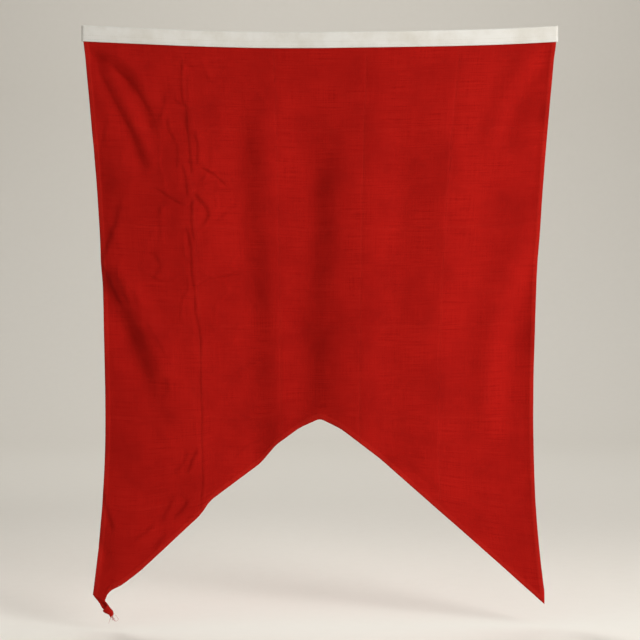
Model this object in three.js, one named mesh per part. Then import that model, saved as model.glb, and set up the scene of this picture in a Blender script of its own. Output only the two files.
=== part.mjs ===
// Red swallowtail signal flag, hung by its hoist edge with its two tails downwards.
// Millimetres, +Z up, front face towards -Y, origin at the middle of the heading's top edge.
import * as THREE from "three";

const { clamp, lerp, smoothstep } = THREE.MathUtils;

// Flat sizes of the cut cloth and of the heading strip.
const hoist = 762;
const fly = 914;
const notchDepth = 305;
const clothThickness = 1.2;
const hemWidth = 7;
const hemThickness = 1.9;
const headingDepth = 25;
const headingThickness = 1;
const headingGap = 0.4;
const headingRound = 0.7;

// Hung sizes: the folds draw the width in, most of all at the waist above the notch.
const topHalfWidth = 0.4835 * hoist;
const waistHalfWidth = 0.4344 * hoist;
const tailHalfWidth = 0.4575 * hoist;
const cornerRise = 10;
const waistLevel = cornerRise - 0.675 * fly;
const tailLevel = cornerRise - 0.9595 * fly;
const topNarrowing = 1.8;
const apexLevel = notchDepth - 0.988 * fly;

// Lower edge seen from the front, as [x, z] from the left corner over the apex to the right corner.
// It steps up at each lengthwise fold, and the left tail ends in a short neck above its twist.
const neckOuter = [-tailHalfWidth, tailLevel];
const neckInner = [-330, -877];
const lowerEdge = [
  neckOuter,
  neckInner,
  [-328, -870],
  [-323, -861],
  [-305, -853],
  [-276, -831],
  [-184, -746],
  [-170, -725],
  [-92, -668],
  [-69, -640],
  [-32, -613],
  [0, apexLevel],
  [32, -613],
  [91, -658],
  [180, -737],
  [tailHalfWidth, -887],
];
const lowerEdgeSoftening = 5;

// Folds, from top to bottom of their paths as [x, z], with their height towards the front. A step has
// a trough on the left of its path and a ridge on the right, and a ridge is the same on both sides.
const folds = [
  // Two drag folds from the left corner of the hoist.
  stepFold(4.2, 13, [-362, -8], [-330, -34], [-283, -84], [-257, -137], [-254, -165]),
  stepFold(3.2, 9, [-356, 5], [-330, -66], [-290, -152], [-262, -230], [-240, -258]),
  // Left edge curled back, then the long elbow fold that starts below it and its softer end.
  ridgeFold(-9, 24, [-346, -150], [-342, -240], [-340, -360]),
  stepFold(8, 19, [-366, -315], [-322, -385], [-288, -455], [-267, -510], [-254, -562]),
  stepFold(3, 20, [-276, -470], [-258, -530], [-246, -590], [-240, -650]),
  // Lengthwise folds pressed in when the flag was packed.
  ridgeFold(4, 30, [-220, -20], [-203, -208], [-191, -402], [-181, -683], [-180, -790]),
  ridgeFold(4, 30, [216, -20], [204, -200], [192, -420], [184, -680], [183, -790]),
  // Hanging folds on both sides of the middle, and one down to the apex.
  stepFold(4.5, 22, [-112, -60], [-98, -280], [-82, -540], [-74, -740]),
  stepFold(6, 30, [14, -60], [6, -330], [0, -480], [-4, -720]),
  stepFold(-4, 24, [112, -60], [102, -300], [88, -500], [78, -740]),
  // Drag fold and elbow fold of the right side.
  stepFold(-4, 13, [360, 0], [334, -40], [306, -84], [284, -138], [270, -196]),
  stepFold(-6.5, 20, [364, -255], [312, -372], [288, -460], [276, -560], [270, -640]),
];
const foldFade = 0.2;
const foldStartDrop = headingDepth + 1;
const foldFullDrop = headingDepth + 30;
const headingWaveHeight = 3;
const headingWaveLength = 410;
const bellyHeight = 7;
const bellyLength = 360;
const bellyShift = 90;
const bellyFullDrop = 500;
const bellyLean = 400;
const tailSwing = 9;
const tailSwingWidth = 150;

// Twist of the left tail, seen from the front: its outer and its inner side from the neck to the end.
const twistOuter = [neckOuter, [-342, -877], [-336, -887.5], [-331, -894], [-324, -897.5], [-322, -901]];
const twistInner = [neckInner, [-326.5, -882], [-322, -888], [-318, -893], [-317.5, -899]];
const twistDepth = 3.2;
const twistTurn = 1.2 * Math.PI;
const twistThickness = 4;
const twistEndThickness = 1.6;
const twistEdgeThinning = 0.75;

// Mesh counts.
const neckColumns = 3;
const freeColumns = 42;
const rows = 57;
const twistRows = 7;
const columnGrading = 0.38;
const pathSteps = 24;

function stepFold(height, width, ...path) {
  return { height, width, path, step: true };
}

function ridgeFold(height, width, ...path) {
  return { height, width, path, step: false };
}

// Level of the heading's top edge, which sags a little between its two corners.
function topEdge(x) {
  return cornerRise * (x / topHalfWidth) ** 2;
}

// Half the hung width at a level.
function halfWidth(z) {
  if (z > waistLevel) {
    const up = clamp((z - waistLevel) / (cornerRise - waistLevel), 0, 1);
    return waistHalfWidth + (topHalfWidth - waistHalfWidth) * up ** topNarrowing;
  }
  const down = clamp((waistLevel - z) / (waistLevel - tailLevel), 0, 1);
  return waistHalfWidth + (tailHalfWidth - waistHalfWidth) * down ** 2;
}

// Straight runs between the points of the lower edge.
function lowerEdgeRun(x) {
  const next = clamp(lowerEdge.findIndex((point) => point[0] >= x), 1, lowerEdge.length - 1);
  const [fromX, fromZ] = lowerEdge[next - 1];
  const [toX, toZ] = lowerEdge[next];
  return lerp(fromZ, toZ, clamp((x - fromX) / (toX - fromX), 0, 1));
}

// The same edge with its corners softened, except in the neck, which stays sharp.
function lowerEdgeLevel(x) {
  if (x < neckInner[0] + lowerEdgeSoftening || x > tailHalfWidth - lowerEdgeSoftening) {
    return lowerEdgeRun(x);
  }
  const offsets = [-1, -0.5, 0, 0.5, 1];
  const levels = offsets.map((offset) => lowerEdgeRun(x + offset * lowerEdgeSoftening));
  return levels.reduce((sum, level) => sum + level, 0) / levels.length;
}

// Points along a smooth curve through [x, z] pairs.
function smoothPath(pairs, steps) {
  const curve = new THREE.CatmullRomCurve3(pairs.map(([x, z]) => new THREE.Vector3(x, 0, z)));
  return curve.getPoints(steps);
}

const foldPaths = folds.map((fold) => ({ ...fold, points: smoothPath(fold.path, pathSteps) }));

// Height that one fold adds at a place, from the nearest point of its path.
function foldHeightAt(fold, x, z) {
  let nearest = Infinity;
  let side = 0;
  let along = 0;
  for (let i = 0; i < pathSteps; i += 1) {
    const start = fold.points[i];
    const runX = fold.points[i + 1].x - start.x;
    const runZ = fold.points[i + 1].z - start.z;
    const fraction = clamp(((x - start.x) * runX + (z - start.z) * runZ) / (runX ** 2 + runZ ** 2), 0, 1);
    const awayX = x - start.x - fraction * runX;
    const awayZ = z - start.z - fraction * runZ;
    const distance = Math.hypot(awayX, awayZ);
    if (distance < nearest) {
      nearest = distance;
      side = Math.sign(awayZ * runX - awayX * runZ);
      along = (i + fraction) / pathSteps;
    }
  }
  const ends = smoothstep(along, 0, foldFade) * smoothstep(1 - along, 0, foldFade);
  const across = (side * nearest) / fold.width;
  const profile = fold.step ? across * Math.exp(0.5 - 0.5 * across ** 2) : Math.exp(-(across ** 2));
  return fold.height * ends * profile;
}

// Height of the cloth towards the front. Under the heading only the heading's own wave is left.
function clothHeight(x, z) {
  const drop = topEdge(x) - z;
  const free = smoothstep(drop, foldStartDrop, foldFullDrop);
  const wave = headingWaveHeight * Math.sin((2 * Math.PI * x) / headingWaveLength);
  const bellyPhase = (2 * Math.PI * (x - bellyShift)) / bellyLength + drop / bellyLean;
  const belly = bellyHeight * Math.sin(bellyPhase) * Math.min(drop / bellyFullDrop, 1);
  const swing = -tailSwing * smoothstep(-z, -waistLevel, -tailLevel) * clamp(x / tailSwingWidth, -1, 1);
  const folded = foldPaths.reduce((sum, fold) => sum + foldHeightAt(fold, x, z), 0);
  return wave + free * (belly + swing + folded);
}

function clothPoint(x, z) {
  return new THREE.Vector3(x, -clothHeight(x, z), z);
}

// Columns across the hoist, closer together on the left, with one at each hem's inner side.
function columnFractions() {
  const neck = (neckInner[0] + tailHalfWidth) / (2 * tailHalfWidth);
  const hem = hemWidth / hoist;
  const fractions = [];
  for (let i = 0; i < neckColumns; i += 1) {
    fractions.push((neck * i) / neckColumns);
  }
  for (let i = 0; i < freeColumns; i += 1) {
    const even = i / (freeColumns - 1);
    const graded = even * (1 - columnGrading + columnGrading * even);
    fractions.push(lerp(neck, 1 - 2 * hem, graded));
  }
  return [...fractions, 1 - hem, 1];
}

// Rows as [drop, fraction]: three at fixed drops under the heading, then fractions of the way from
// there to the lower edge, with one at the hem's inner side.
function rowLevels() {
  const hem = hemWidth / fly;
  const levels = [
    [headingThickness + headingGap, 0],
    [foldStartDrop / 2, 0],
  ];
  for (let i = 0; i < rows; i += 1) {
    levels.push([foldStartDrop, (i / (rows - 1)) * (1 - 2 * hem)]);
  }
  return [...levels, [foldStartDrop, 1 - hem], [foldStartDrop, 1]];
}

// Place on the front view for a fraction across and a row: width and level depend on each other.
function placeOnFront(across, [drop, fraction]) {
  let x = (2 * across - 1) * waistHalfWidth;
  let z = 0;
  for (let pass = 0; pass < 8; pass += 1) {
    z = lerp(topEdge(x) - drop, lowerEdgeLevel(x), fraction);
    x = (2 * across - 1) * halfWidth(z);
  }
  return [x, z];
}

// Closed body around a sheet of four-cornered cells, each point with its own thickness.
function thickenSheet(points, thickness, cells) {
  const normals = points.map(() => new THREE.Vector3());
  for (const cell of cells) {
    const [first, second, third, fourth] = cell.map((corner) => points[corner]);
    const normal = third.clone().sub(first).cross(fourth.clone().sub(second));
    cell.forEach((corner) => normals[corner].add(normal));
  }
  const position = [];
  for (const side of [0.5, -0.5]) {
    points.forEach((point, i) => {
      const moved = point.clone().addScaledVector(normals[i].normalize(), side * thickness[i]);
      position.push(moved.x, moved.y, moved.z);
    });
  }
  const back = points.length;
  const index = [];
  const rim = new Map();
  for (const [a, b, c, d] of cells) {
    index.push(a, b, c, a, c, d);
    index.push(back + a, back + c, back + b, back + a, back + d, back + c);
    for (const [from, to] of [[a, b], [b, c], [c, d], [d, a]]) {
      if (!rim.delete(`${to} ${from}`)) {
        rim.set(`${from} ${to}`, [from, to]);
      }
    }
  }
  for (const [from, to] of rim.values()) {
    index.push(to, from, back + from, to, back + from, back + to);
  }
  return closedGeometry(position, index);
}

function closedGeometry(position, index) {
  const geometry = new THREE.BufferGeometry();
  geometry.setAttribute("position", new THREE.Float32BufferAttribute(position, 3));
  geometry.setIndex(index);
  geometry.computeVertexNormals();
  return geometry;
}

// The whole panel with its hems, and the rolled twist that ends the left tail.
function clothGeometry() {
  const columns = columnFractions();
  const levels = rowLevels();
  const points = [];
  const thickness = [];
  const cells = [];
  levels.forEach((level, row) => {
    columns.forEach((across, column) => {
      const atSide = column < 2 || column > columns.length - 3;
      const atFoot = row > levels.length - 3;
      points.push(clothPoint(...placeOnFront(across, level)));
      thickness.push(atSide || atFoot ? hemThickness : clothThickness);
    });
  });
  for (let row = 0; row < levels.length - 1; row += 1) {
    for (let column = 0; column < columns.length - 1; column += 1) {
      const corner = row * columns.length + column;
      const below = corner + columns.length;
      cells.push([corner, below, below + 1, corner + 1]);
    }
  }
  addTwist(points, thickness, cells, (levels.length - 1) * columns.length);
  return thickenSheet(points, thickness, cells);
}

// Rows of the twist hang on the neck's points, which start at neckStart.
function addTwist(points, thickness, cells, neckStart) {
  const outer = smoothPath(twistOuter, twistRows);
  const inner = smoothPath(twistInner, twistRows);
  const neckY = points[neckStart].y;
  let above = neckStart;
  for (let row = 1; row <= twistRows; row += 1) {
    const down = row / twistRows;
    const start = points.length;
    const rolled = lerp(twistThickness, twistEndThickness, down ** 2);
    for (let i = 0; i <= neckColumns; i += 1) {
      const across = (2 * i) / neckColumns - 1;
      const point = outer[row].clone().lerp(inner[row], i / neckColumns);
      point.y = neckY - twistDepth * across * Math.sin(twistTurn * down);
      points.push(point);
      thickness.push(rolled * Math.sqrt(1 - twistEdgeThinning * across ** 2));
    }
    for (let i = 0; i < neckColumns; i += 1) {
      cells.push([above + i, start + i, start + i + 1, above + i + 1]);
    }
    above = start;
  }
}

// Canvas strip folded over the hoist edge: a narrow upturned U carried along the heading's wave.
function headingGeometry() {
  const slot = clothThickness / 2 + headingGap;
  const hemSlot = hemThickness / 2 + headingGap;
  const stations = columnFractions();
  const position = [];
  const index = [];
  let count = 0;
  stations.forEach((across, station) => {
    const atHem = station < 3 || station > stations.length - 4;
    const inside = atHem ? hemSlot : slot;
    const outside = inside + headingThickness;
    const section = [
      [outside, -headingDepth],
      [outside, -headingRound],
      [outside - headingRound, 0],
      [headingRound - outside, 0],
      [-outside, -headingRound],
      [-outside, -headingDepth],
      [-inside, -headingDepth],
      [-inside, -headingThickness],
      [inside, -headingThickness],
      [inside, -headingDepth],
    ];
    count = section.length;
    const x = (2 * across - 1) * topHalfWidth;
    const z = topEdge(x);
    const ahead = clothHeight(x + 1, z) - clothHeight(x - 1, z);
    const towardsBack = new THREE.Vector2(ahead, 2).normalize();
    for (const [depth, level] of section) {
      const y = -clothHeight(x, z) + depth * towardsBack.y;
      position.push(x + depth * towardsBack.x, y, z + level);
    }
  });
  for (let station = 0; station < stations.length - 1; station += 1) {
    for (let i = 0; i < count; i += 1) {
      const here = station * count + i;
      const beside = station * count + ((i + 1) % count);
      index.push(here, beside, beside + count, here, beside + count, here + count);
    }
  }
  const last = (stations.length - 1) * count;
  const outline = [];
  for (let i = 0; i < count; i += 1) {
    outline.push(new THREE.Vector2(position[3 * i + 1], position[3 * i + 2]));
  }
  for (const [a, b, c] of THREE.ShapeUtils.triangulateShape(outline, [])) {
    index.push(a, c, b, last + a, last + b, last + c);
  }
  return closedGeometry(position, index);
}

const redBunting = new THREE.MeshStandardMaterial({ color: 0x9e1511, roughness: 0.85, metalness: 0 });
const whiteCanvas = new THREE.MeshStandardMaterial({ color: 0xd9d8d4, roughness: 0.9, metalness: 0 });

function namedMesh(name, geometry, material) {
  const mesh = new THREE.Mesh(geometry, material);
  mesh.name = name;
  return mesh;
}

const flag = new THREE.Group();
flag.add(namedMesh("flag_cloth", clothGeometry(), redBunting));
flag.add(namedMesh("heading", headingGeometry(), whiteCanvas));

export default flag;
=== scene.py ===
import math

import bpy
import numpy as np
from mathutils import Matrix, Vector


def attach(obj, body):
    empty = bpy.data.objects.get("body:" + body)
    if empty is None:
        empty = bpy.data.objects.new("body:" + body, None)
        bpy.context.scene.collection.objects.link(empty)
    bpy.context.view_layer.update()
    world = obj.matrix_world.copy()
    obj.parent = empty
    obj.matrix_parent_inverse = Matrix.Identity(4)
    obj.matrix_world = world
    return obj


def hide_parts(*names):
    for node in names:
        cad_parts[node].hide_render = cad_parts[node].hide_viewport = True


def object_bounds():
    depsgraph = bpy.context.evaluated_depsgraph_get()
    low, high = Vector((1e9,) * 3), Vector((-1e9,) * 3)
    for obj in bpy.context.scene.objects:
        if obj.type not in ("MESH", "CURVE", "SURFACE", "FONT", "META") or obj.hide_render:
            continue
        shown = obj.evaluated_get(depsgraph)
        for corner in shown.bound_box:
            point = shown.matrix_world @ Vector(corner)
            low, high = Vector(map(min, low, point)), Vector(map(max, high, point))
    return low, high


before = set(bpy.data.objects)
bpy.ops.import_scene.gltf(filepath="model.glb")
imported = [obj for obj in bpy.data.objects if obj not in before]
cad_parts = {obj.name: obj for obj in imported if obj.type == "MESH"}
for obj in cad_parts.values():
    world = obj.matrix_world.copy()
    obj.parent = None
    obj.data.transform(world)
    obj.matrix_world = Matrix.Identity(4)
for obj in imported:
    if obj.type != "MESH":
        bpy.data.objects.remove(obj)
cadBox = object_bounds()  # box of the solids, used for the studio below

mm = 0.001  # shapes are worked out in millimetres, and meshes are made in metres

# hung outline of the flag: half widths and levels in mm, in the frame of the solids
hung = {
    "topHalfWidth": 368.4,
    "waistHalfWidth": 331,
    "tailHalfWidth": 348.6,
    "cornerRise": 10,  # corners of the hoist above its sagging middle
    "waistLevel": -607,
    "tailLevel": -867,
    "topNarrowing": 1.8,
    "edgeSoftening": 5,
}

# flat cut that hangs in that outline
cut = {
    "hoist": 762,
    "fly": 914,
    "notchDepth": 305,
    "packFold": 152.4,  # side of the square that the flag was packed into
    "edgeDraw": 0.975,  # hung width over flat width between side hem and first pressed fold
    "neckWidth": 19,  # width of the left tail where its twist begins
}
flatNeck = cut["neckWidth"] / cut["edgeDraw"]
cutSlope = math.hypot(1, cut["notchDepth"] / (cut["hoist"] / 2))  # length of the swallow cut over its width

# lower edge from the left tail to the right one, as place across and level
lowerEdge = np.array([
    (-348.6, -867), (-330, -877), (-328, -870), (-323, -861), (-305, -853), (-276, -831), (-184, -746),
    (-170, -725), (-92, -668), (-69, -640), (-32, -613), (0, -598), (32, -613), (91, -658), (180, -737),
    (348.6, -887),
], float)


def smoothStep(value, low, high):
    part = np.clip((value - low) / (high - low), 0, 1)
    return part * part * (3 - 2 * part)


def topEdge(x):
    return hung["cornerRise"] * (x / hung["topHalfWidth"]) ** 2


def halfWidth(z):
    waist = hung["waistHalfWidth"]
    up = np.clip((z - hung["waistLevel"]) / (hung["cornerRise"] - hung["waistLevel"]), 0, 1)
    down = np.clip((hung["waistLevel"] - z) / (hung["waistLevel"] - hung["tailLevel"]), 0, 1)
    above = (hung["topHalfWidth"] - waist) * up ** hung["topNarrowing"]
    below = (hung["tailHalfWidth"] - waist) * down ** 2
    return waist + above + below


def lowerLevel(x):
    reach = hung["edgeSoftening"]
    run = np.interp(x, lowerEdge[:, 0], lowerEdge[:, 1])
    shifts = [-reach, -reach / 2, 0, reach / 2, reach]
    soft = np.mean([np.interp(x + shift, lowerEdge[:, 0], lowerEdge[:, 1]) for shift in shifts], axis=0)
    sharp = (x < lowerEdge[1, 0] + reach) | (x > hung["tailHalfWidth"] - reach)
    return np.where(sharp, run, soft)


def hungX(across, z):  # place across the front of a flat distance from the left edge
    middle = cut["hoist"] / 2
    inner = middle - cut["packFold"]
    away = np.abs(across - middle)
    innerReach = halfWidth(z) - cut["edgeDraw"] * cut["packFold"]
    placed = np.where(away < inner, away / inner * innerReach, innerReach + (away - inner) * cut["edgeDraw"])
    return np.sign(across - middle) * placed


def cutLength(across):  # flat distance from the hoist to the swallow cut
    middle = cut["hoist"] / 2
    return cut["fly"] - cut["notchDepth"] * (1 - np.abs(across - middle) / middle)


# folds and creases: kind, height towards the front, width, then the points of the line
mainFolds = [
    ("step", 2.8, 13, (-362, -8), (-330, -34), (-283, -84), (-257, -137), (-254, -165)),  # drag folds
    ("step", 3.2, 12, (-368, -2), (-336, -28), (-306, -58), (-272, -100)),
    ("step", 3.2, 10, (-356, 5), (-330, -66), (-290, -152), (-272, -196), (-262, -220)),
    ("ridge", -5, 21, (-348, -150), (-344, -240), (-342, -360)),  # edge curled back
    ("step", 4.2, 19, (-366, -315), (-322, -385), (-288, -455), (-264, -510), (-246, -562)),  # elbow fold
    ("step", 3.2, 17, (-338, -362), (-314, -402), (-292, -448), (-270, -496)),
    ("step", 1.2, 20, (-276, -470), (-258, -530), (-246, -590), (-240, -650)),
    ("step", 1.5, 26, (-300, -440), (-268, -506), (-242, -566), (-226, -622)),
    ("ridge", 4, 30, (-220, -20), (-203, -208), (-191, -402), (-181, -683), (-180, -790)),  # pressed folds
    ("ridge", 4, 30, (216, -20), (204, -200), (192, -420), (184, -680), (183, -790)),
    ("step", 4.5, 22, (-112, -60), (-98, -280), (-82, -540), (-74, -740)),  # hanging folds
    ("step", 6, 30, (14, -60), (6, -330), (0, -480), (-4, -720)),
    ("step", -4, 24, (112, -60), (102, -300), (88, -500), (78, -740)),
    ("step", -4, 13, (360, 0), (334, -40), (306, -84), (284, -138), (270, -196)),  # right side
    ("step", -6.5, 20, (364, -255), (312, -372), (288, -460), (276, -560), (270, -640)),
]

smallCreases = [
    ("pinch", 0.3, 4, (-300, -130), (-284, -172), (-270, -206)),  # lines in the drag folds
    ("pinch", 0.8, 3, (-346, -40), (-331, -78), (-313, -113), (-295, -145), (-278, -178)),
    ("pinch", 0.9, 3, (-326, -44), (-309, -62), (-288, -82), (-272, -104), (-259, -130), (-256, -146)),
    ("pinch", 1.0, 3.5, (-329, -123), (-332, -152), (-337, -180)),  # left edge
    ("pinch", 1.8, 6, (-304, -248), (-314, -286), (-322, -311), (-331, -339), (-339, -370)),
    ("ridge", -2.8, 8, (-337, -786), (-329, -810), (-339, -837)),
    ("pinch", 1.7, 3.5, (-334, -704), (-328, -732), (-316, -776)),
    ("pinch", 1.7, 4, (-212, -47), (-195, -53), (-181, -51), (-163, -44), (-145, -42)),  # crumple at the top
    ("pinch", 1.0, 4, (-181, -56), (-174, -70), (-163, -77), (-149, -67)),
    ("pinch", 1.0, 3.2, (-214, -40), (-214, -70), (-213, -98), (-206, -122)),  # first pressed fold
    ("pinch", 0.6, 4, (-205, -60), (-204, -120)),
    ("pinch", 1.3, 4.5, (-207, -104), (-206, -142), (-202, -162), (-201, -190), (-196, -228)),
    ("pinch", 1.4, 5, (-196, -146), (-190, -172), (-190, -190), (-192, -212)),
    ("pinch", 1.0, 3, (-206, -196), (-201, -206), (-197, -224)),
    ("pinch", 1.1, 2.8, (-205, -290), (-199, -343), (-197, -378), (-192, -410)),
    ("pinch", 1.1, 2.8, (-193, -395), (-191, -431), (-186, -460), (-184, -510)),
    ("pinch", 0.9, 2.8, (-185, -455), (-184, -541), (-182, -605), (-181, -683), (-183, -765)),
    ("pinch", 1.2, 2.5, (-228, -106), (-215, -111), (-202, -118)),  # wrinkles beside it
    ("crease", 0.8, 4, (-208, -116), (-196, -120), (-170, -114)),
    ("pinch", 0.8, 5, (-239, -95), (-243, -120), (-252, -142)),
    ("pinch", 1.0, 4, (-234, -129), (-232, -152), (-223, -170)),
    ("pinch", 0.7, 3, (-221, -168), (-221, -213)),
    ("pinch", 1.3, 3.2, (-216, -203), (-207, -224), (-205, -240), (-203, -258)),
    ("pinch", 1.8, 4.5, (-197, -252), (-198, -280), (-197, -304), (-193, -332)),  # buckle at a corner
    ("pinch", 0.8, 3, (-208, -296), (-205, -312), (-202, -334)),
    ("pinch", 2.4, 6.5, (-201, -249), (-189, -256), (-179, -269), (-172, -284), (-176, -295), (-189, -305)),
    ("pinch", 1.5, 4, (-199, -250), (-190, -240), (-171, -233), (-156, -233)),
    ("pinch", 1.5, 2.8, (-193, -206), (-171, -215), (-158, -226), (-140, -241)),
    ("pinch", 1.2, 2.8, (-258, -240), (-241, -251), (-225, -260), (-202, -272)),
    ("pinch", 0.8, 2.5, (-221, -264), (-212, -260), (-200, -252)),
    ("pinch", 1.0, 3, (-249, -264), (-247, -287), (-249, -330)),
    ("pinch", 0.9, 5, (-120, -258), (-149, -284), (-176, -309)),
    ("ridge", 1.2, 10, (-118, -276), (-156, -311), (-194, -338)),
    ("pinch", 2.5, 3, (-196, -404), (-184, -390), (-161, -379), (-100, -367)),  # forked crease
    ("crease", 0.7, 3, (-246, -403), (-220, -401), (-192, -418)),
    ("pinch", 1.1, 5, (-260, -338), (-247, -361), (-257, -383)),
    ("pinch", 0.9, 4, (-273, -368), (-244, -383), (-228, -377)),
    ("pinch", 1.1, 5, (-288, -394), (-284, -410), (-282, -428)),
    ("crease", 0.6, 3, (-200, -346), (-163, -347), (-108, -346)),
    ("pinch", 1.3, 3, (-345, -343), (-327, -380), (-318, -401), (-300, -434)),  # lines of the elbow fold
    ("pinch", 0.9, 4, (-314, -374), (-303, -398), (-293, -428)),
    ("pinch", 0.9, 5, (-270, -442), (-251, -476), (-233, -515)),
    ("ridge", 1.4, 8, (-290, -565), (-255, -601), (-222, -646)),  # below the elbow fold
    ("pinch", 1.3, 5, (-240, -532), (-234, -560)),
    ("crease", -0.8, 3.0, (-345, -606), (-259, -603), (-182, -601), (-80, -601)),
    ("crease", -0.5, 2.6, (-345, -566), (-277, -565)),
    ("pinch", 1.9, 5, (-187, -640), (-198, -664), (-210, -688)),  # bias wrinkles in and above the tail
    ("pinch", 1.7, 5, (-200, -648), (-213, -668), (-226, -684)),
    ("pinch", 1.9, 5, (-252, -758), (-268, -770), (-288, -784)),
    ("pinch", 1.7, 5, (-234, -774), (-246, -786), (-258, -800)),
    ("pinch", 1.7, 5, (-200, -722), (-214, -740), (-230, -756)),
    ("pinch", 1.4, 5, (-222, -716), (-236, -738), (-246, -762)),
    ("ridge", -1.6, 8, (-112, -679), (-149, -708), (-180, -736)),
    ("pinch", 0.8, 4, (-90, -507), (-120, -520), (-152, -532)),
    ("pinch", 0.8, 4, (-88, -630), (-113, -640), (-134, -658)),
    ("pinch", -1.2, 3, (209, -60), (203, -150), (199, -260), (192, -380)),  # right half
    ("pinch", -1.1, 3, (193, -370), (190, -480), (185, -600), (184, -740)),
    ("pinch", -1.4, 4, (197, -250), (189, -276), (194, -312)),
    ("pinch", -1.0, 3, (196, -244), (212, -262), (224, -290)),
    ("crease", -1.0, 3.5, (190, -452), (222, -446), (262, -452)),
    ("pinch", -1.0, 3, (262, -205), (240, -232), (214, -250)),
    ("pinch", -1.2, 5, (300, -560), (318, -620), (322, -680)),
    ("crease", -0.8, 2.6, (100, -601), (220, -603), (345, -606)),
    ("crease", -0.8, 2.6, (150, -452), (60, -448), (20, -452)),
    ("ridge", 1.0, 5, (150, -640), (172, -676), (182, -700)),
    ("ridge", 1.0, 5, (238, -730), (262, -760), (272, -782)),
    ("ridge", -1.4, 8, (110, -650), (160, -696), (210, -742)),
]

foldSet = {
    "pathSteps": 24,
    "fade": 0.2,  # share of a path over which a fold rises and dies
    "reachWidths": 5,  # a fold has died out this many widths from its line
    "pinchRound": 0.03,  # rounding of sharp lines, in squared widths
    "creaseRound": 0.04,
    "startDrop": 26,  # folds begin below the heading
    "fullDrop": 55,
    "waveHeight": 3,  # slow wave of the hoist and of all that hangs from it
    "waveLength": 410,
    "bellyHeight": 7,  # wide swells that grow downwards
    "bellyLength": 360,
    "bellyShift": 90,
    "bellyFullDrop": 500,
    "bellyLean": 400,
    "tailSwing": 9,  # the tails swing to opposite sides
    "tailSwingWidth": 150,
    "facetAcross": 1.4,  # tilt of the flat squares between pressed folds
    "facetDown": 1.3,
    "lineDepth": 0.65,  # grooves between those squares
    "lineWidth": 2.4,
    "jog": 1.6,  # small creases wander by about this much
    "jogLong": 21,
    "jogShort": 9,
    "lineReach": 1.7,  # least half width of the painted shade line in a crease
    "lineFullHeight": 1.5,  # creases this high have a full painted shade line
    "unevenness": [(95, 1.1, 11), (34, 0.6, 12), (15, 0.18, 13)],  # size, height, seed
    "mainVary": (0.95, 0.25, 47, 47, 28),  # strength along folds: mean, spread, two sizes, seed
    "smallVary": (0.76, 0.3, 19, 19, 27),
    "lineVary": (0.65, 0.35, 13, 13, 22),
    "pressVary": (0.65, 0.35, 60, 45, 21),
}

# connected soft wrinkles, strongest beside the upper part of the left pressed fold
crumpleSet = {
    "height": 1,
    "size": 46,
    "stretch": 1.5,  # longer down than across
    "bend": 0.45,
    "bendSize": 33,
    "sharpness": 5,
    "least": 0.35,  # share of the height that is left elsewhere
    "centre": -190,
    "reach": 130,
    "fadeLevels": (-560, -380),
}

# how the hems stray from the cloth beside them
hemSet = {
    "flutter": 1.7,
    "cutReach": 13,  # distances in from the edge over which flutter dies
    "sideReach": 11,
    "sideShare": 0.5,
    "cutWave": 37,
    "sideWave": 41,
    "stillWave": 300,  # hardly any change in the other direction
    "pucker": 0.28,
    "puckerReach": 9,
    "puckerSize": 6,
}


def smoothPath(points, steps):  # curve through all the points
    given = np.array(points, float)
    padded = np.vstack([2 * given[0] - given[1], given, 2 * given[-1] - given[-2]])
    spans = len(given) - 1
    made = []
    for place in np.linspace(0, spans, steps + 1):
        first = min(int(place), spans - 1)
        part = place - first
        a, b, c, d = padded[first:first + 4]
        made.append(0.5 * (2 * b + (c - a) * part + (2 * a - 5 * b + 4 * c - d) * part ** 2
                           + (3 * b - a - 3 * c + d) * part ** 3))
    return np.array(made)


def foldField(fold, x, z):  # height of one fold, and how near its line is
    kind, height, width, *points = fold
    path = smoothPath(points, foldSet["pathSteps"])
    reach = foldSet["reachWidths"] * width
    low, high = path.min(axis=0) - reach, path.max(axis=0) + reach
    close = (x > low[0]) & (x < high[0]) & (z > low[1]) & (z < high[1])
    px, pz = x[close], z[close]
    nearest = np.full(px.shape, np.inf)
    across = np.zeros(px.shape)
    along = np.zeros(px.shape)
    for i, (start, run) in enumerate(zip(path[:-1], np.diff(path, axis=0))):
        part = np.clip(((px - start[0]) * run[0] + (pz - start[1]) * run[1]) / (run @ run), 0, 1)
        awayX = px - start[0] - part * run[0]
        awayZ = pz - start[1] - part * run[1]
        distance = np.hypot(awayX, awayZ)
        nearer = distance < nearest
        nearest = np.where(nearer, distance, nearest)
        across = np.where(nearer, np.sign(awayZ * run[0] - awayX * run[1]) * distance, across)
        along = np.where(nearer, (i + part) / foldSet["pathSteps"], along)
    across = across / width
    ends = smoothStep(along, 0, foldSet["fade"]) * smoothStep(1 - along, 0, foldSet["fade"])
    # each profile is 0.8 to 1 at its highest
    if kind == "step":  # trough on the left and ridge on the right of a line that runs down
        profile = across * np.exp(0.5 - 0.5 * across ** 2)
    elif kind == "pinch":  # the same with a sharper line between them
        profile = across * np.exp(0.8 - np.sqrt(across ** 2 + foldSet["pinchRound"]))
    elif kind == "ridge":  # soft and even
        profile = np.exp(-across ** 2)
    else:  # pinched line
        profile = np.exp(0.2 - np.sqrt(across ** 2 + foldSet["creaseRound"]))
    rise, line = np.zeros(x.shape), np.zeros(x.shape)
    rise[close] = height * ends * profile
    # painted shade along the line of a tight crease
    reach = max(foldSet["lineReach"], 0.5 * width)
    full = foldSet["lineFullHeight"]
    line[close] = min(abs(height), full) / full * ends * np.exp(-(nearest / reach) ** 2)
    return rise, line


noiseCells = 61  # values along each side of a random table, which then repeats


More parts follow.
